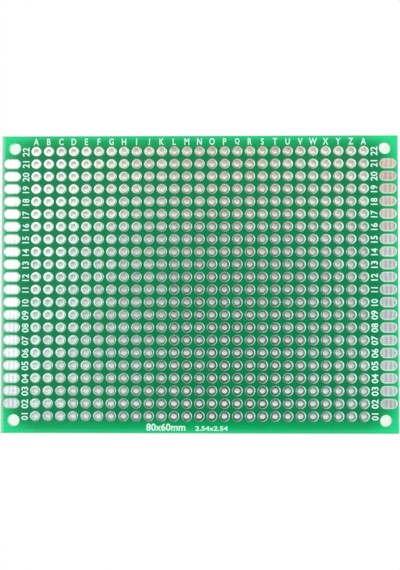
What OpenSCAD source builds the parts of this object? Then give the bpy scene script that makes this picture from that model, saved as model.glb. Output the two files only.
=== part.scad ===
// Double-sided prototype board: a drilled glass-epoxy laminate with V-scored edges, a film of
// solder mask on each face, a grid of plated and tinned holes, and a column of long tinned
// pads along each short edge.
// Frame: millimetres, +Z up, origin at the centre of the rectangle on the plane that the
// lowest pads rest on. X runs along the lettered rows, Y along the numbered columns.

/* [Laminate] */
// Length of the board along X
board_l = 80; // [40:0.5:120]
// Width of the board along Y
board_w = 60; // [30:0.5:90]
// Thickness of the bare glass-epoxy laminate
laminate_t = 1.5; // [0.8:0.1:2.4]
// Width of the bevel that the V-score leaves along each edge
score_w = 0.14; // [0.05:0.01:0.3]
// Height of the upright band between the two bevels, where the board was snapped off
score_web = 0.5; // [0.2:0.05:0.7]

/* [Hole grid] */
// Distance between neighbouring plated holes, along X and Y
pitch = 2.54; // [2.54:0.01:5.08]
// How far the grid's centre lies from the board's centre, along Y
grid_shift = 0.15; // [0:0.05:0.3]
// Least margin between the outermost pads and a long edge, where the letters stand
margin_y = 2.2; // [1.6:0.05:4]
// Least margin between the outermost pads and the long edge pads, for the row numbers
margin_x = 2; // [1.4:0.05:4]

/* [Plated holes] */
// Finished bore that takes a component lead
lead_hole_d = 1; // [0.7:0.05:1.2]
// Thickness of the plated wall inside the drilled hole
barrel_t = 0.05; // [0.03:0.01:0.1]
// Outer diameter of the round pads
pad_d = 2.1; // [1.75:0.05:2.2]
// Thickness of a pad at its rim, which is the etched copper foil
foil_t = 0.035; // [0.02:0.005:0.05]
// Height of the solder's crown above the laminate, on a round pad
ring_h = 0.085; // [0.06:0.005:0.12]
// How far the solder falls from the middle of the crown to its edges
crown_fall = 0.004; // [0.002:0.001:0.008]
// Width of the solder's outer slope, from the rim up to the crown
rim_slope_w = 0.14; // [0.06:0.01:0.2]
// Radius that rounds the crown over into the bore
mouth_r = 0.06; // [0.02:0.01:0.07]

/* [Edge pads] */
// Length of a long edge pad
edge_pad_l = 3.5; // [2.6:0.05:4]
// Width of a long edge pad
edge_pad_w = 2.1; // [1.7:0.05:2.2]
// Gap between a long pad's outer end and the board's edge
edge_pad_inset = 0.36; // [0.2:0.02:0.6]
// Height of the solder's flat top above the laminate, on a long pad
edge_pad_h = 0.09; // [0.065:0.005:0.13]
// Width of the rounded slope around a long pad's flat top
edge_slope_w = 0.3; // [0.1:0.02:0.6]

/* [Mounting holes] */
// Diameter of the bare hole near each corner
mount_hole_d = 2.4; // [2:0.1:3]
// Distance from a mounting hole's axis to the short edge
mount_inset_x = 2.65; // [2.2:0.05:3.2]
// Distance from a mounting hole's axis to the long edge
mount_inset_y = 2.6; // [2.2:0.05:2.8]

/* [Solder mask] */
// Thickness of the cured film on each face
mask_t = 0.025; // [0.015:0.005:0.035]
// Gap that the film leaves around each pad
mask_gap = 0.05; // [0.03:0.01:0.07]
// Gap that the film leaves around each mounting hole
mask_hole_gap = 0.1; // [0.05:0.05:0.2]

/* [Hidden] */
$fn = 48;
// Conical steps in the outer slope and in the rounded mouth of a pad's section
slope_steps = 2;
mouth_steps = 2;

// Heights, from the plane that the back's long pads rest on
back_z = edge_pad_h;
front_z = back_z + laminate_t;
middle_z = (back_z + front_z) / 2;

// The V-score narrows the flat faces, and it leaves its web halfway up the edge
face_l = board_l - 2 * score_w;
face_w = board_w - 2 * score_w;
score_depth = (laminate_t - score_web) / 2;

// The grid is as large as the margins allow
edge_band = edge_pad_inset + edge_pad_l + margin_x;
columns = floor((board_l - 2 * edge_band - pad_d) / pitch) + 1;
rows = floor((board_w - 2 * margin_y - pad_d) / pitch) + 1;
drill_d = lead_hole_d + 2 * barrel_t;

edge_pad_x = board_l / 2 - edge_pad_inset - edge_pad_l / 2;
// The first and last row have no long pad, because the mounting holes are there
edge_pad_rows = [2 : rows - 1];

function column_x(column) = (column - (columns + 1) / 2) * pitch;
function row_y(row) = (row - (rows + 1) / 2) * pitch + grid_shift;
function row_node(row) = str("plated_holes_row_", row < 10 ? "0" : "", row);

// Places its children at each mounting hole
module at_mounting_holes() {
    for (x = [-1, 1], y = [-1, 1])
        translate([x * (board_l / 2 - mount_inset_x), y * (board_w / 2 - mount_inset_y)])
            children();
}

// Places its children at each plated hole of one row
module at_row(row) {
    for (column = [1 : columns])
        translate([column_x(column), row_y(row)]) children();
}

// Places its children at each long pad of one side
module at_edge_pads(side) {
    for (row = edge_pad_rows)
        translate([side * edge_pad_x, row_y(row)]) children();
}

// Section across the slab, with the V-score's bevel at each corner
module slab_section(width) {
    edge = width / 2;
    face = edge - score_w;
    polygon([
        [-edge, score_depth], [-face, 0], [face, 0], [edge, score_depth],
        [edge, laminate_t - score_depth], [face, laminate_t],
        [-face, laminate_t], [-edge, laminate_t - score_depth]
    ]);
}

// The bevels of the two directions meet in mitres, as the scores cross at the corners
module slab() {
    translate([0, 0, back_z]) intersection() {
        translate([-board_l / 2, 0, 0])
            rotate([90, 0, 90]) linear_extrude(board_l) slab_section(board_w);
        translate([0, board_w / 2, 0])
            rotate([90, 0, 0]) linear_extrude(board_w) slab_section(board_l);
    }
}

module laminate() {
    color("darkkhaki") difference() {
        slab();
        translate([0, 0, -1]) {
            at_mounting_holes() cylinder(d = mount_hole_d, h = front_z + 2);
            for (row = [1 : rows])
                at_row(row) cylinder(d = drill_d, h = front_z + 2);
        }
    }
}

// Outline of a long pad, grown all round by extra
module stadium(extra) {
    straight = edge_pad_l - edge_pad_w;
    width = edge_pad_w + 2 * extra;
    square([straight, width], center = true);
    for (end = [-1, 1])
        translate([end * straight / 2, 0]) circle(d = width);
}

// One face's film, lying on z = 0
module mask_film() {
    linear_extrude(mask_t) difference() {
        square([face_l, face_w], center = true);
        at_mounting_holes() circle(d = mount_hole_d + 2 * mask_hole_gap);
        for (row = [1 : rows])
            at_row(row) circle(d = pad_d + 2 * mask_gap);
        for (side = [-1, 1])
            at_edge_pads(side) stadium(mask_gap);
    }
}

module solder_mask_front() {
    color("seagreen") translate([0, 0, front_z]) mask_film();
}

module solder_mask_back() {
    color("seagreen") translate([0, 0, back_z - mask_t]) mask_film();
}

// Points up a pad's outer slope: from the foil's edge at r, inwards over w, up to h
function outer_slope(r, w, h) = concat(
    [[r, 0]],
    [for (i = [0 : slope_steps])
        let (a = 90 * i / slope_steps)
        [r - w * (1 - cos(a)), foil_t + (h - foil_t) * sin(a)]]
);

// Points over a ring's solder: up the outer slope, across the crown and round the bore's mouth
crown_edge_h = ring_h - crown_fall;
mouth_x = lead_hole_d / 2 + mouth_r;
crown_x = (pad_d / 2 - rim_slope_w + mouth_x) / 2;
mouth_points = [
    for (i = [0 : mouth_steps])
        let (a = 90 * i / mouth_steps)
        [mouth_x - mouth_r * sin(a), crown_edge_h - mouth_r * (1 - cos(a))]
];
ring_points = concat(
    outer_slope(pad_d / 2, rim_slope_w, crown_edge_h),
    [[crown_x, ring_h]],
    mouth_points
);

// Half section of a plated hole: the wall in the drilled hole and the pad on each face
module plated_hole_section() {
    last = len(ring_points) - 1;
    polygon(concat(
        [[drill_d / 2, laminate_t / 2]],
        [for (p = ring_points) [p[0], laminate_t / 2 + p[1]]],
        [for (i = [last : -1 : 0]) [ring_points[i][0], -laminate_t / 2 - ring_points[i][1]]],
        [[drill_d / 2, -laminate_t / 2]]
    ));
}

module plated_holes(row) {
    color("gainsboro") translate([0, 0, middle_z])
        at_row(row) rotate_extrude() plated_hole_section();
}

// Half section of a long pad, lying on y = 0
module edge_pad_half_section() {
    polygon(concat(
        [[0, 0]],
        outer_slope(edge_pad_w / 2, edge_slope_w, edge_pad_h),
        [[0, edge_pad_h]]
    ));
}

// A long tinned pad lying on z = 0: a straight bar between two half-round ends
module edge_pad() {
    straight = edge_pad_l - edge_pad_w;
    translate([-straight / 2, 0, 0]) rotate([90, 0, 90]) linear_extrude(straight) {
        edge_pad_half_section();
        mirror([1, 0]) edge_pad_half_section();
    }
    for (end = [0, 1]) mirror([end, 0, 0])
        translate([straight / 2, 0, 0])
            rotate([0, 0, -90]) rotate_extrude(angle = 180) edge_pad_half_section();
}

module edge_pads_front(side) {
    color("gainsboro") translate([0, 0, front_z])
        at_edge_pads(side) edge_pad();
}

module edge_pads_back(side) {
    color("gainsboro") translate([0, 0, back_z])
        at_edge_pads(side) mirror([0, 0, 1]) edge_pad();
}

laminate();
solder_mask_front();
solder_mask_back();
for (row = [1 : rows])
    plated_holes(row);
edge_pads_front(-1);  // edge_pads_left_front
edge_pads_front(1);  // edge_pads_right_front
edge_pads_back(-1);  // edge_pads_left_back
edge_pads_back(1);  // edge_pads_right_back
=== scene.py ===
import math
import bpy
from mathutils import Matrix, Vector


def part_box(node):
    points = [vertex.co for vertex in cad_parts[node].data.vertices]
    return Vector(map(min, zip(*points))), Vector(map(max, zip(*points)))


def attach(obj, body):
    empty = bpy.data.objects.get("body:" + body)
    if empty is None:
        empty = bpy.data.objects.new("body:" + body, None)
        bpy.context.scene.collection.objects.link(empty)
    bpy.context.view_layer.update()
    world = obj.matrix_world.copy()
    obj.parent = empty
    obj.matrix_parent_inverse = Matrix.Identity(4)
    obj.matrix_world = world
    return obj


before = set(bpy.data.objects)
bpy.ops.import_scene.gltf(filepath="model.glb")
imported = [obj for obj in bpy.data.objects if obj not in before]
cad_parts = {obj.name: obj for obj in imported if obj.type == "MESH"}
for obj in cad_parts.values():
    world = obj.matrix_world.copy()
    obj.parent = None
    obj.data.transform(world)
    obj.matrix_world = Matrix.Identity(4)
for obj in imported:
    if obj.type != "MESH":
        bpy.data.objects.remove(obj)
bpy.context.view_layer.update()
mm = 0.001
weldDistance = 0.0005 * mm    # points closer than this are one point
wavePeriod = 0.314            # metres between a wave texture's bands at scale 1
noiseBlotch = 0.5             # metres, the size of a noise texture's blotches at scale 1
print("frame loaded")

# The board's measures in mm, which the patterns and the print follow.
board = {
    "halfLength": 40.0,
    "halfWidth": 30.0,
    "pitch": 2.54,
    "gridShift": 0.15,    # how far the grid's middle lies towards the lettered edge
    "columns": 27,
    "rows": 22,
}

# what makes a Map Range node a soft step: its inputs are a value, two places and the level at each,
# where no levels mean 0 and 1
smooth = {"interpolation_type": "SMOOTHSTEP"}


def toLinear(hexColour):
    channels = [int(hexColour[i:i + 2], 16) / 255 for i in (1, 3, 5)]
    return [c / 12.92 if c <= 0.04045 else ((c + 0.055) / 1.055) ** 2.4 for c in channels] + [1]


def addNode(tree, kind, inputs=(), **settings):
    # inputs are listed in the sockets' order, or by a socket's name or number in a dictionary, where
    # a Mix node's colours are 6 and 7. A node given as an input is linked from its first output in use
    node = tree.nodes.new("ShaderNode" + kind)
    for name, value in settings.items():
        setattr(node, name, value)
    if not isinstance(inputs, dict):
        inputs = dict(enumerate(inputs))
    for name, value in inputs.items():
        if isinstance(value, bpy.types.Node):
            value = next(output for output in value.outputs if output.enabled)
        if isinstance(value, bpy.types.NodeSocket):
            tree.links.new(value, node.inputs[name])
        else:
            node.inputs[name].default_value = value
    return node


def newMaterial(name):
    material = bpy.data.materials.new(name)
    material.use_nodes = True
    material.node_tree.nodes.clear()
    return material, material.node_tree


# Solder mask: screen-printed green epoxy film over woven glass, cured to a soft gloss. The glass cloth
# under it shows as a faint grid of threads. Its colour carries painted light and shade: painted darker
# between the pads, and painted brighter where no pads stand close, for light that comes through the
# laminate: along the margins, at the edges and most of all at the corners.
maskLook = {
    "margin": "#0eae64",
    "betweenPads": "#0b7f4e",
    "rim": "#2cc585",
    "corner": "#1fdb8c",
    "snappedEdge": "#b4e4d0",     # the left edge, painted pale for light that enters through the snapped fibres
    "padsBegin": 0.2,             # mm from an edge, where the margin's colour begins to change
    "padsFull": (5.0, 3.8),       # mm from a short edge and from a long one, where it has changed
    "rimWidth": 1.4,              # mm
    "cornerReach": (1.0, 8.5),    # mm from two edges together
    "cornerShare": 0.9,
    "snappedWidth": 0.9,          # mm
    "snappedShare": 0.75,
    # mm between warp threads and between weft threads, and their weights
    "threads": (("X", 0.57, 0.6), ("Y", 0.76, 0.4)),
    "unevenness": {"Distortion": 1.2, "Detail": 1.0, "Detail Scale": 0.6},
    "threadDepth": 0.14,          # how much the threads lighten the film
    "clouds": 2.0,                # mm, the size of its paler clouds
    "cloudDepth": 0.2,            # how much the clouds lighten it
    "darkest": 0.83,              # its level between threads and clouds
    "waves": 0.6,                 # mm, the size of the film's own waves
    "waveShare": 0.5,
    "relief": 0.25,
    "reliefHeight": 0.01,         # mm
    "roughness": 0.16,
    "ior": 1.5,
    "specular": 0.12,             # the film is dull beside the solder
}


def makeSolderMask(look):
    material, tree = newMaterial("solderMaskGreen")
    place = addNode(tree, "TexCoord").outputs["Object"]
    axes = addNode(tree, "SeparateXYZ", [place]).outputs
    # the distances from the nearer short edge and from the nearer long edge
    distances = []
    for axis, half in (("X", board["halfLength"]), ("Y", board["halfWidth"])):
        fromMiddle = addNode(tree, "Math", [axes[axis]], operation="ABSOLUTE")
        distances.append(addNode(tree, "Math", [half * mm, fromMiddle], operation="SUBTRACT"))
    padSteps = [addNode(tree, "MapRange", [distance, look["padsBegin"] * mm, full * mm], **smooth)
                for distance, full in zip(distances, look["padsFull"])]
    nearest = addNode(tree, "Math", distances, operation="MINIMUM")
    reach = addNode(tree, "Math", distances, operation="ADD")
    corner = [distance * mm for distance in look["cornerReach"]]
    snapped = [(-board["halfLength"] + width) * mm for width in (0.0, look["snappedWidth"])]
    paintedLightZones = {
        "betweenPads": addNode(tree, "Math", padSteps, operation="MINIMUM"),
        "rim": addNode(tree, "MapRange", [nearest, 0.0, look["rimWidth"] * mm, 1.0, 0.0], **smooth),
        "corner": addNode(tree, "MapRange", [reach, *corner, look["cornerShare"], 0.0], **smooth),
        "snappedEdge": addNode(tree, "MapRange", [axes["X"], *snapped, look["snappedShare"], 0.0], **smooth),
    }
    # painted light and shade by zone, laid over the margin's colour
    colour = toLinear(look["margin"])
    for name, zone in paintedLightZones.items():
        colour = addNode(tree, "Mix", {0: zone, 6: colour, 7: toLinear(look[name])}, data_type="RGBA")

    weave = 0.0
    for axis, spacing, weight in look["threads"]:
        bands = addNode(tree, "TexWave",
                        {"Vector": place, "Scale": wavePeriod / (spacing * mm), **look["unevenness"]},
                        bands_direction=axis).outputs["Fac"]
        weave = addNode(tree, "Math", [bands, weight, weave], operation="MULTIPLY_ADD")
    clouds = addNode(tree, "TexNoise",
                     {"Vector": place, "Scale": noiseBlotch / (look["clouds"] * mm), "Detail": 3.0})
    cloudy = addNode(tree, "Math", [clouds, look["cloudDepth"], look["darkest"]], operation="MULTIPLY_ADD")
    tint = addNode(tree, "Math", [weave, look["threadDepth"], cloudy], operation="MULTIPLY_ADD")
    tint = addNode(tree, "CombineColor", [tint, tint, tint])
    colour = addNode(tree, "Mix", {0: 1.0, 6: colour, 7: tint}, data_type="RGBA", blend_type="MULTIPLY")

    # the film levels out most of the cloth, and it is a little wavy by itself
    waves = addNode(tree, "TexNoise",
                    {"Vector": place, "Scale": noiseBlotch / (look["waves"] * mm), "Detail": 2.0})
    height = addNode(tree, "Math", [waves, look["waveShare"], weave], operation="MULTIPLY_ADD")
    bump = addNode(tree, "Bump",
                   {"Height": height, "Strength": look["relief"], "Distance": look["reliefHeight"] * mm})
    shader = addNode(tree, "BsdfPrincipled",
                     {"Base Color": colour, "Roughness": look["roughness"], "IOR": look["ior"],
                      "Specular IOR Level": look["specular"], "Normal": bump})
    addNode(tree, "OutputMaterial", {"Surface": shader})
    return material


# Tinned copper: hot-air-levelled solder, bright and slightly rippled, uneven from pad to pad.
tinLook = {
    "mottle": 0.35,            # mm, the size of the duller blotches
    "mottleShare": 0.8,        # how much a blotch dulls the solder
    "padShare": 0.35,          # how much duller one pad may be than another
    "dullness": (0.3, 1.0),    # the sum of both that is still bright, and the sum that is dull
    "blotches": (0.3, 0.7),    # a blotch's level where it is still smooth, and where it is rough
    "ripple": 0.5,             # mm between the ripples that the air knife leaves
    "grain": 0.08,             # mm, drawn coarser than tin's real crystals so that it shows
    "grainShare": 0.1,
    "reliefHeight": 0.02,      # mm
}

ringLook = {
    "bright": "#d2e4df",
    "dull": "#b3c3be",
    "rim": "#9fceb8",             # the solder runs out thin there; painted reflection of the green mask beside it, and painted shade
    "rimBegins": (0.86, 0.94),    # mm from the middle, where the rim's colour sets in and is full
    "rimRoughness": 0.2,
    "roughness": (0.08, 0.18),    # where it is smooth, and where it is rough
    "relief": 0.3,
    "level": (0.991, 0.999),      # a normal's Z, from shaded round to shaded flat
}

# the long pads are scraped thin by the air knife, so the glass cloth's threads show through them
flatLook = {
    "bright": "#ecf1f6",
    "dull": "#d8d6dc",
    # painted reflection of the green mask on the long pads' slopes
    "rim": "#b9e6d2",
    # a slope has the rim's colour: the normal's Z up to which it does, and above which it doesn't,
    # and how much of it there is
    "slopes": ((0.3, 0.97, 1.0), (0.9975, 0.999, 0.55)),
    "rimRoughness": 0.5,
    "roughness": (0.15, 0.2),
    "relief": 0.1,
    "level": (0.991, 0.994),
    # mm between bundles of warp threads and between weft threads, and their weights
    "threads": (("X", 0.9, 0.75), ("Y", 0.42, 0.25)),
    "unevenness": {"Distortion": 3.0, "Detail Scale": 0.4},
    "threadDepth": 0.3,           # how much darker the threads are
    # painted warm reflection and shade: the long pads turn pinker and darker from the middle towards one
    # corner
    "thin": "#eddbd0",
    "paintedWarmReach": (("X", 30.0), ("Y", 25.0)),    # mm from the middle
}


def makeTinnedCopper(name, look):
    material, tree = newMaterial(name)
    place = addNode(tree, "TexCoord").outputs["Object"]
    axes = addNode(tree, "SeparateXYZ", [place]).outputs
    # one random value for each pad, which lies in the middle of a cell of the pitch: the columns are
    # odd in number, so X is moved by half a cell, and the rows are even
    pitch = board["pitch"] * mm
    shift = (pitch / 2, -board["gridShift"] * mm, 0.0)
    offset = addNode(tree, "VectorMath", [place, shift], operation="ADD")
    cell = addNode(tree, "VectorMath", [offset, (pitch, pitch, 1.0)], operation="SNAP")
    perPad = addNode(tree, "TexWhiteNoise", {"Vector": cell}, noise_dimensions="3D")
    mottle = addNode(tree, "TexNoise",
                     {"Vector": place, "Scale": noiseBlotch / (look["mottle"] * mm), "Detail": 4.0})
    dullness = addNode(tree, "Math", [perPad, look["padShare"]], operation="MULTIPLY")
    dullness = addNode(tree, "Math", [mottle, look["mottleShare"], dullness], operation="MULTIPLY_ADD")
    dullness = addNode(tree, "MapRange", [dullness, *look["dullness"]], **smooth)
    colour = addNode(tree, "Mix", {0: dullness, 6: toLinear(look["bright"]), 7: toLinear(look["dull"])},
                     data_type="RGBA")

    facing = addNode(tree, "NewGeometry").outputs
    tilt = addNode(tree, "SeparateXYZ", [facing["True Normal"]]).outputs["Z"]
    upright = addNode(tree, "Math", [tilt], operation="ABSOLUTE")
    if "rimBegins" in look:
        # a round pad's rim is told by the distance from the pad's middle
        fromCorner = addNode(tree, "VectorMath", [offset, cell], operation="SUBTRACT")
        fromMiddle = addNode(tree, "VectorMath",
                             [fromCorner, (1.0, 1.0, 0.0), (-pitch / 2, -pitch / 2, 0.0)],
                             operation="MULTIPLY_ADD")
        radius = addNode(tree, "VectorMath", [fromMiddle], operation="LENGTH")
        rim = addNode(tree, "MapRange", [radius, *[r * mm for r in look["rimBegins"]]], **smooth)
        top = facing["True Normal"]
    else:
        # a long pad's rim is told by its slope
        slopes = [addNode(tree, "MapRange", [upright, *slope, 0.0], **smooth) for slope in look["slopes"]]
        rim = addNode(tree, "Math", slopes, operation="MAXIMUM")
        top = addNode(tree, "CombineXYZ", {"Z": addNode(tree, "Math", [tilt], operation="SIGN")})
        cloth = 0.0
        for axis, spacing, weight in look["threads"]:
            bands = addNode(tree, "TexWave",
                            {"Vector": place, "Scale": wavePeriod / (spacing * mm), **look["unevenness"]},
                            bands_direction=axis).outputs["Fac"]
            cloth = addNode(tree, "Math", [bands, weight, cloth], operation="MULTIPLY_ADD")
        shade = addNode(tree, "Math", [cloth, -look["threadDepth"], 1.0], operation="MULTIPLY_ADD")
        shade = addNode(tree, "CombineColor", [shade, shade, shade])
        # painted warm reflection and shade, full towards the right end of the lettered edge
        thin = 1.0
        for axis, distance in look["paintedWarmReach"]:
            step = addNode(tree, "MapRange", [axes[axis], 0.0, distance * mm], **smooth)
            thin = addNode(tree, "Math", [thin, step], operation="MULTIPLY")
        paintedWarmReflection = addNode(tree, "Mix", {0: thin, 6: toLinear("#ffffff"), 7: toLinear(look["thin"])},
                         data_type="RGBA")
        for tint in (shade, paintedWarmReflection):
            colour = addNode(tree, "Mix", {0: 1.0, 6: colour, 7: tint},
                             data_type="RGBA", blend_type="MULTIPLY")
    # the rim's colour is painted reflection of the green mask beside the pads
    colour = addNode(tree, "Mix", {0: rim, 6: colour, 7: toLinear(look["rim"])}, data_type="RGBA")

    roughness = addNode(tree, "MapRange", [mottle, *look["blotches"], *look["roughness"]], **smooth)
    extra = addNode(tree, "Math", [look["rimRoughness"], roughness], operation="SUBTRACT")
    roughness = addNode(tree, "Math", [rim, extra, roughness], operation="MULTIPLY_ADD")
    # the crown and the flat tops are shaded flat, and only the slopes are shaded round
    level = addNode(tree, "MapRange", [upright, *look["level"]], **smooth)
    shape = addNode(tree, "Mix", {0: level, 6: facing["Normal"], 7: top}, data_type="RGBA")
    grain = addNode(tree, "TexNoise",
                    {"Vector": place, "Scale": noiseBlotch / (look["grain"] * mm), "Detail": 1.0})
    ripple = addNode(tree, "TexNoise",
                     {"Vector": place, "Scale": noiseBlotch / (look["ripple"] * mm), "Detail": 2.0})
    height = addNode(tree, "Math", [grain, look["grainShare"], ripple], operation="MULTIPLY_ADD")
    bump = addNode(tree, "Bump", {"Height": height, "Strength": look["relief"],
                                  "Distance": look["reliefHeight"] * mm, "Normal": shape})
    shader = addNode(tree, "BsdfPrincipled",
                     {"Base Color": colour, "Metallic": 1.0, "Roughness": roughness, "Normal": bump})
    addNode(tree, "OutputMaterial", {"Surface": shader})
    return material


# Laminate: glass-epoxy cut through, pale where the snapped fibres scatter light.
laminateLook = {
    "resin": "#5fbf90",
    "fibre": "#a9e3c6",
    "bore": "#b4f0d2",      # the drilled walls, painted bright for the light in the laminate
    "face": "#5aa98a",      # the bare ring round a pad: painted glow of the same light, dimmed by painted shade between mask and solder
    "edgeWidth": 1.0,       # mm in from the outline, where no bore is
    "faceDepth": 0.01,      # mm from a face, within which it still is the face
    "ply": 0.19,            # mm, the thickness of one ply of glass cloth
    "plyShare": 0.5,
    "fibres": 0.12,         # mm, drawn coarser than real glass fibres so that they show
    "fibreShare": 0.9,
    # the sum of plies and fibres that has the resin's colour, and the one that has the fibre's
    "paleness": (0.3, 1.1),
    "relief": 0.6,
    "reliefHeight": 0.02,   # mm
    "roughness": 0.6,
    "ior": 1.52,
    "specular": 0.2,
}


def makeLaminate(look):
    material, tree = newMaterial("glassEpoxyLaminate")
    place = addNode(tree, "TexCoord").outputs["Object"]
    axes = addNode(tree, "SeparateXYZ", [place]).outputs
    plies = addNode(tree, "TexWave",
                    {"Vector": place, "Scale": wavePeriod / (look["ply"] * mm), "Distortion": 0.8,
                     "Detail": 2.0}, bands_direction="Z").outputs["Fac"]
    fibres = addNode(tree, "TexNoise",
                     {"Vector": place, "Scale": noiseBlotch / (look["fibres"] * mm), "Detail": 3.0})
    paleness = addNode(tree, "Math", [fibres, look["fibreShare"]], operation="MULTIPLY")
    paleness = addNode(tree, "Math", [plies, look["plyShare"], paleness], operation="MULTIPLY_ADD")
    pale = addNode(tree, "MapRange", [paleness, *look["paleness"]], **smooth)
    colour = addNode(tree, "Mix", {0: pale, 6: toLinear(look["resin"]), 7: toLinear(look["fibre"])},
                     data_type="RGBA")
    inside = 1.0
    for axis, half in (("X", board["halfLength"]), ("Y", board["halfWidth"])):
        fromMiddle = addNode(tree, "Math", [axes[axis]], operation="ABSOLUTE")
        within = addNode(tree, "Math", [fromMiddle, (half - look["edgeWidth"]) * mm], operation="LESS_THAN")
        inside = addNode(tree, "Math", [inside, within], operation="MULTIPLY")
    low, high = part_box("laminate")
    fromMiddle = addNode(tree, "Math", [axes["Z"], (low[2] + high[2]) / 2], operation="SUBTRACT")
    fromMiddle = addNode(tree, "Math", [fromMiddle], operation="ABSOLUTE")
    face = (high[2] - low[2]) / 2 - look["faceDepth"] * mm
    paintedShadeRing = addNode(tree, "Math", [fromMiddle, face], operation="GREATER_THAN")
    # painted glow on the bore walls and painted shade on the bare faces round the pads
    for zone, name in ((inside, "bore"), (paintedShadeRing, "face")):
        colour = addNode(tree, "Mix", {0: zone, 6: colour, 7: toLinear(look[name])}, data_type="RGBA")
    bump = addNode(tree, "Bump",
                   {"Height": paleness, "Strength": look["relief"], "Distance": look["reliefHeight"] * mm})
    shader = addNode(tree, "BsdfPrincipled",
                     {"Base Color": colour, "Roughness": look["roughness"], "IOR": look["ior"],
                      "Specular IOR Level": look["specular"], "Normal": bump})
    addNode(tree, "OutputMaterial", {"Surface": shader})
    return material


# Legend ink: white screen-printed epoxy, matt beside the mask, faintly green because the film is thin.
inkLook = {
    "thick": "#e6fffa",
    "thin": "#c8f7ea",
    "speckle": 0.12,         # mm, the size of the thinner spots
    "relief": 0.2,
    "reliefHeight": 0.005,   # mm
    "roughness": 0.5,
    "ior": 1.5,
    "specular": 0.2,
}


def makeLegendInk(look):
    material, tree = newMaterial("whiteLegendInk")
    place = addNode(tree, "TexCoord").outputs["Object"]
    speckle = addNode(tree, "TexNoise",
                      {"Vector": place, "Scale": noiseBlotch / (look["speckle"] * mm), "Detail": 2.0})
    colour = addNode(tree, "Mix", {0: speckle, 6: toLinear(look["thick"]), 7: toLinear(look["thin"])},
                     data_type="RGBA")
    bump = addNode(tree, "Bump",
                   {"Height": speckle, "Strength": look["relief"], "Distance": look["reliefHeight"] * mm})
    shader = addNode(tree, "BsdfPrincipled",
                     {"Base Color": colour, "Roughness": look["roughness"], "IOR": look["ior"],
                      "Specular IOR Level": look["specular"], "Normal": bump})
    addNode(tree, "OutputMaterial", {"Surface": shader})
    return material


solderMask = makeSolderMask(maskLook)
tinnedRings = makeTinnedCopper("tinnedCopperRings", {**tinLook, **ringLook})
tinnedFlats = makeTinnedCopper("tinnedCopperFlats", {**tinLook, **flatLook})
laminateMaterial = makeLaminate(laminateLook)
legendInk = makeLegendInk(inkLook)
print("materials made")

# Legend: column letters, row numbers and the plain size and pitch, printed on the front mask. In mm.
legendSizes = {
    "inkThickness": 0.014,
    "boldness": 0.028,      # how far a stroke's outline is moved out, as a share of the text's height
    "capital": 0.73,        # a capital's height, as a share of the built-in font's size
    "curveSteps": 3,        # how finely the letters' curves are drawn
    "letterHeight": 1.35,
    "letterY": 28.76,
    "letterNarrow": 0.78,
    "numberHeight": 1.38,
    "numberLength": 1.83,
    "oneNarrower": 0.42,    # a 1 is that much narrower than the other digits
    "numberPlaces": ((-35.08, 0.12), (35.12, 0.06)),    # X, and how far below the row's middle
    "lines": (    # the text, its height and length, and the place of its middle
        ("80x60mm", 1.48, 7.85, -6.7, -28.7),
        ("2.54x2.54", 0.92, 6.5, 2.46, -28.95),
    ),
}
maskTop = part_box("solder_mask_front")[1][2]


def printText(sizes, body, height, x, y, length=None, turned=False):
    # a text without a length keeps the font's proportions, narrowed
    bpy.ops.object.text_add(location=(0, 0, 0))
    text = bpy.context.object
    text.data.body = body
    text.data.size = height / sizes["capital"] * mm
    text.data.align_x = "CENTER"
    text.data.align_y = "CENTER"
    text.data.offset = sizes["boldness"] * height * mm
    text.data.extrude = sizes["inkThickness"] / 2 * mm
    text.data.resolution_u = sizes["curveSteps"]
    bpy.ops.object.convert(target="MESH")
    mark = bpy.context.object
    points = [v.co for v in mark.data.vertices]
    low = [min(p[i] for p in points) for i in (0, 1)]
    high = [max(p[i] for p in points) for i in (0, 1)]
    upright = height * mm / (high[1] - low[1])
    stretch = length * mm / (high[0] - low[0]) if length else sizes["letterNarrow"] * upright
    inkMiddle = maskTop + sizes["inkThickness"] / 2 * mm
    for v in mark.data.vertices:
        flatX = (v.co.x - (low[0] + high[0]) / 2) * stretch
        flatY = (v.co.y - (low[1] + high[1]) / 2) * upright
        if turned:
            flatX, flatY = -flatY, flatX
        v.co = (flatX + x * mm, flatY + y * mm, v.co.z + inkMiddle)
    return mark


def makeLegend(sizes):
    bpy.ops.object.select_all(action="DESELECT")
    marks = []
    for i in range(board["columns"]):
        letter = "ABCDEFGHIJKLMNOPQRSTUVWXYZ"[i % 26]
        x = (i - (board["columns"] - 1) / 2) * board["pitch"]
        marks.append(printText(sizes, letter, sizes["letterHeight"], x, sizes["letterY"]))
    for i in range(board["rows"]):
        y = (i - (board["rows"] - 1) / 2) * board["pitch"] + board["gridShift"]
        number = "%02d" % (i + 1)
        length = sizes["numberLength"] - number.count("1") * sizes["oneNarrower"]
        for x, drop in sizes["numberPlaces"]:
            marks.append(printText(sizes, number, sizes["numberHeight"], x, y - drop, length, turned=True))
    for body, height, length, x, y in sizes["lines"]:
        marks.append(printText(sizes, body, height, x, y, length))
    bpy.ops.object.select_all(action="DESELECT")
    for mark in marks:
        mark.select_set(True)
    bpy.context.view_layer.objects.active = marks[0]
    bpy.ops.object.join()
    legend = bpy.context.object
    legend.name = "legend"
    bpy.ops.object.mode_set(mode="EDIT")
    bpy.ops.mesh.select_all(action="SELECT")
    bpy.ops.mesh.remove_doubles(threshold=weldDistance)
    bpy.ops.mesh.normals_make_consistent(inside=False)
    bpy.ops.object.mode_set(mode="OBJECT")
    legend.data.materials.clear()
    legend.data.materials.append(legendInk)
    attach(legend, "root")
    return legend


legend = makeLegend(legendSizes)
print("legend printed:", len(legend.data.polygons), "faces")


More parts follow.
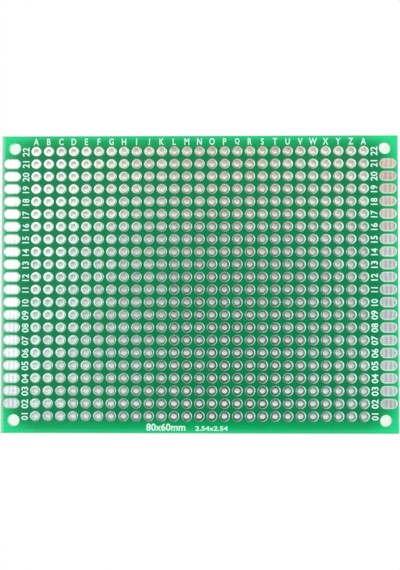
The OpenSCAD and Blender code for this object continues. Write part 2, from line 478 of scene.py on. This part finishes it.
def paint(node, material, smoothShaded=False):
    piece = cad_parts[node]
    piece.data.materials.clear()
    piece.data.materials.append(material)
    if smoothShaded:
        # the loose triangles are welded by a modifier, so that shading runs across them
        piece.data.shade_smooth()
        weld = piece.modifiers.new("weldTriangles", "WELD")
        weld.merge_threshold = weldDistance


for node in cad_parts:
    if "solder_mask" in node:
        paint(node, solderMask)
    elif node == "laminate":
        paint(node, laminateMaterial)
    else:
        paint(node, tinnedFlats if "edge" in node else tinnedRings, smoothShaded=True)
print("materials on", len(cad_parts), "nodes")

# Floor: white paper. The camera sees plain white beside the board, and through the bores it sees
# paper in the board's shade with painted light on it, for what comes through the laminate and past the
# board. Places are in mm from the middle.
floorLook = {
    "size": 20.0,                # m, so that no view sees past it
    "gap": 0.01,                 # mm below the lowest pads
    "paper": "#ffffff",
    "whiteShare": 0.85,          # how plain the white is beside the board, and painted light in the mounting holes
    "edge": 1.0,                 # mm, the width of the soft step at the board's outline
    "boresEnd": (34.0, 36.0),    # the bores lie before the first, the mounting holes beyond the second
    # painted light under the bores: its share is the sum of these: axis, first and last place, the share at
    # each
    "paintedBoreLight": (
        ("X", -34.0, 0.0, 0.54, 0.44),
        ("Y", 0.0, 25.0, 0.0, 0.4),
        ("Y", -5.0, -25.0, 0.0, 0.13),
    ),
    "paintedBoreSides": (-0.2, 0.4, 1.2, 0.5),    # painted light, brighter on one side of each bore's floor: two places from a row's middle, and that sum's factor at each
    "paintedGreenLight": "#e9fff0",          # painted tint of the light that comes through the laminate
    "paintedGreenShare": (0.4, 0.8),    # its strength under the bores, and under the mounting holes
    "paintedWarmLight": "#ffe6cf",           # painted warm light towards the lettered edge
    "warmFull": 25.0,
}


def makeFloor(look):
    bpy.ops.object.select_all(action="DESELECT")
    bpy.ops.mesh.primitive_plane_add(size=look["size"], location=(0, 0, -look["gap"] * mm))
    floor = bpy.context.object
    floor.name = "floor"
    material, tree = newMaterial("paleFloor")
    place = addNode(tree, "TexCoord").outputs["Object"]
    axes = addNode(tree, "SeparateXYZ", [place]).outputs
    across = addNode(tree, "Math", [axes["X"]], operation="ABSOLUTE")
    along = addNode(tree, "Math", [axes["Y"]], operation="ABSOLUTE")
    boresEnd = [distance * mm for distance in look["boresEnd"]]
    longEdge = [(board["halfWidth"] + side * look["edge"] / 2) * mm for side in (-1, 1)]
    beyondBores = addNode(tree, "MapRange", [across, *boresEnd, 0.0, look["whiteShare"]], **smooth)
    beyondEdge = addNode(tree, "MapRange", [along, *longEdge, 0.0, look["whiteShare"]], **smooth)
    share = addNode(tree, "Math", [beyondBores, beyondEdge], operation="MAXIMUM")

    paintedBoreShare = 0.0
    for axis, first, last, atFirst, atLast in look["paintedBoreLight"]:
        step = addNode(tree, "MapRange", [axes[axis], first * mm, last * mm, atFirst, atLast], **smooth)
        paintedBoreShare = addNode(tree, "Math", [paintedBoreShare, step], operation="ADD")
    # painted light: the side of each bore's floor that is away from the lettered edge is painted brighter,
    # for light from beyond that edge
    halfPitch = board["pitch"] / 2 * mm
    fromRows = addNode(tree, "Math", [axes["Y"], halfPitch - board["gridShift"] * mm], operation="ADD")
    inRow = addNode(tree, "Math", [fromRows, halfPitch, -halfPitch], operation="WRAP")
    nearSide, farSide, atNear, atFar = look["paintedBoreSides"]
    paintedSideLight = addNode(tree, "MapRange", [inRow, nearSide * mm, farSide * mm, atNear, atFar], **smooth)
    paintedBoreShare = addNode(tree, "Math", [paintedBoreShare, paintedSideLight], operation="MULTIPLY")
    share = addNode(tree, "Math", [share, paintedBoreShare], operation="MAXIMUM")

    # only what is seen or mirrored is white, and the board is lit by plain paper
    rays = addNode(tree, "LightPath").outputs
    seen = rays["Is Camera Ray"]
    for kind in ("Is Glossy Ray", "Is Transmission Ray"):
        seen = addNode(tree, "Math", [seen, rays[kind]], operation="MAXIMUM")
    share = addNode(tree, "Math", [seen, share], operation="MULTIPLY")

    # painted green and warm light on the paper under the board
    paintedTintZone = addNode(tree, "MapRange", [across, *boresEnd, *look["paintedGreenShare"]], **smooth)
    for distance, half in ((across, board["halfLength"]), (along, board["halfWidth"])):
        step = addNode(tree, "MapRange", [distance, (half - look["edge"]) * mm, half * mm, 1.0, 0.0],
                       **smooth)
        paintedTintZone = addNode(tree, "Math", [paintedTintZone, step], operation="MULTIPLY")
    paintedWarmLight = addNode(tree, "MapRange", [axes["Y"], 0.0, look["warmFull"] * mm], **smooth)
    inBores = addNode(tree, "MapRange", [across, *boresEnd, 1.0, 0.0], **smooth)
    paintedWarmLight = addNode(tree, "Math", [paintedWarmLight, inBores], operation="MULTIPLY")
    tint = addNode(tree, "Mix", {0: paintedWarmLight, 6: toLinear(look["paintedGreenLight"]), 7: toLinear(look["paintedWarmLight"])},
                   data_type="RGBA")
    tint = addNode(tree, "Mix", {0: paintedTintZone, 6: toLinear(look["paper"]), 7: tint}, data_type="RGBA")
    white = addNode(tree, "Emission", {"Color": tint, "Strength": 1.0})
    paper = addNode(tree, "BsdfDiffuse", {"Color": toLinear(look["paper"])})
    mixed = addNode(tree, "MixShader", [share, paper, white])
    addNode(tree, "OutputMaterial", {"Surface": mixed})
    floor.data.materials.append(material)


# Softbox: a soft lamp at the right, in metres and watts.
softboxLook = {
    "width": 0.4,
    "height": 0.6,
    "place": (0.42, 0.12, 0.36),
    "aim": (0.0, 0.0, 0.0),
    "power": 1.1,
    "colour": "#ffffff",
}


def addSoftbox(name, look):
    light = bpy.data.lights.new(name, "AREA")
    light.shape = "RECTANGLE"
    light.size = look["width"]
    light.size_y = look["height"]
    light.energy = look["power"]
    light.color = toLinear(look["colour"])[:3]
    lamp = bpy.data.objects.new(name, light)
    bpy.context.collection.objects.link(lamp)
    lamp.location = look["place"]
    direction = [a - p for a, p in zip(look["aim"], look["place"])]
    yaw = math.atan2(direction[0], -direction[1])
    lean = math.atan2(math.hypot(direction[0], direction[1]), -direction[2])
    lamp.rotation_euler = (lean, 0, yaw + math.pi)


# The studio's brightness by direction, where 1 is white. Each light has its level, its tint and its
# soft edges: along one axis of the direction, each edge goes from dark at its first figure to full
# light at its second.
studioLook = {
    "overhead": 0.09,   # the dark middle of the ceiling, where the camera hangs
    "lights": (
        # a diffuser close by on the left
        (1.95, "#f4fffb", (("X", -0.05, -0.175), ("X", -0.8, -0.4), ("Y", -0.3, 0.1), ("Y", 0.4, 0.08))),
        # the window on the right, brightest towards its sill
        (0.93, "#f4fffb", (("X", 0.05, 0.165), ("Y", 0.95, 0.1), ("Z", 0.1, 0.45))),
        (0.75, "#f4fffb", (("X", 0.12, 0.8), ("Y", 0.95, 0.1), ("Z", 0.1, 0.45))),
        # pale walls behind the camera, on the left and beyond the board
        (0.65, "#f4fffb", (("X", -0.9, 0.0), ("X", 0.7, 0.1), ("Y", -0.18, -0.5))),
        (0.5, "#f4fffb", (("X", -0.35, -0.7), ("Y", 0.5, 0.0))),
        (0.65, "#f4fffb", (("Y", 0.6, 0.85),)),
        # a warm lamp at the board's lettered edge
        (1.18, "#ffd5bb", (("X", -0.35, -0.05), ("X", 0.16, 0.115), ("Y", 0.05, 0.18), ("Y", 0.7, 0.32))),
    ),
}


def makeWorld(look):
    world = bpy.data.worlds.new("studio")
    bpy.context.scene.world = world
    world.use_nodes = True
    tree = world.node_tree
    tree.nodes.clear()
    way = addNode(tree, "TexCoord").outputs["Generated"]
    axes = addNode(tree, "SeparateXYZ", [way]).outputs
    colour = (look["overhead"],) * 3 + (1.0,)
    for level, tint, edges in look["lights"]:
        for axis, dark, light in edges:
            edge = addNode(tree, "MapRange", [axes[axis], dark, light], **smooth)
            level = addNode(tree, "Math", [level, edge], operation="MULTIPLY")
        grey = addNode(tree, "CombineColor", [level, level, level])
        tinted = addNode(tree, "Mix", {0: 1.0, 6: grey, 7: toLinear(tint)},
                         data_type="RGBA", blend_type="MULTIPLY")
        colour = addNode(tree, "Mix", {0: 1.0, 6: colour, 7: tinted}, data_type="RGBA", blend_type="ADD")
    background = addNode(tree, "Background", {"Color": colour, "Strength": 1.0})
    addNode(tree, "OutputWorld", {"Surface": background})


# Camera: nearly straight above the board, in metres and degrees.
cameraLook = {
    "lens": 75.18316,    # mm, for a sensor of 36 mm along the picture's height
    "place": (0.005105, -0.00907, 0.2407),
    "turn": (2.12, 1.19, 0.03),
    "clipStart": 0.01,
}


def makeCamera(look):
    camera = bpy.data.cameras.new("camera")
    camera.lens = look["lens"]
    camera.clip_start = look["clipStart"]
    shot = bpy.data.objects.new("camera", camera)
    bpy.context.collection.objects.link(shot)
    shot.location = look["place"]
    shot.rotation_euler = [math.radians(angle) for angle in look["turn"]]
    bpy.context.scene.camera = shot


makeFloor(floorLook)
addSoftbox("rightSoftbox", softboxLook)
makeWorld(studioLook)
makeCamera(cameraLook)
bpy.context.scene.view_settings.view_transform = "Standard"
print("stage set")
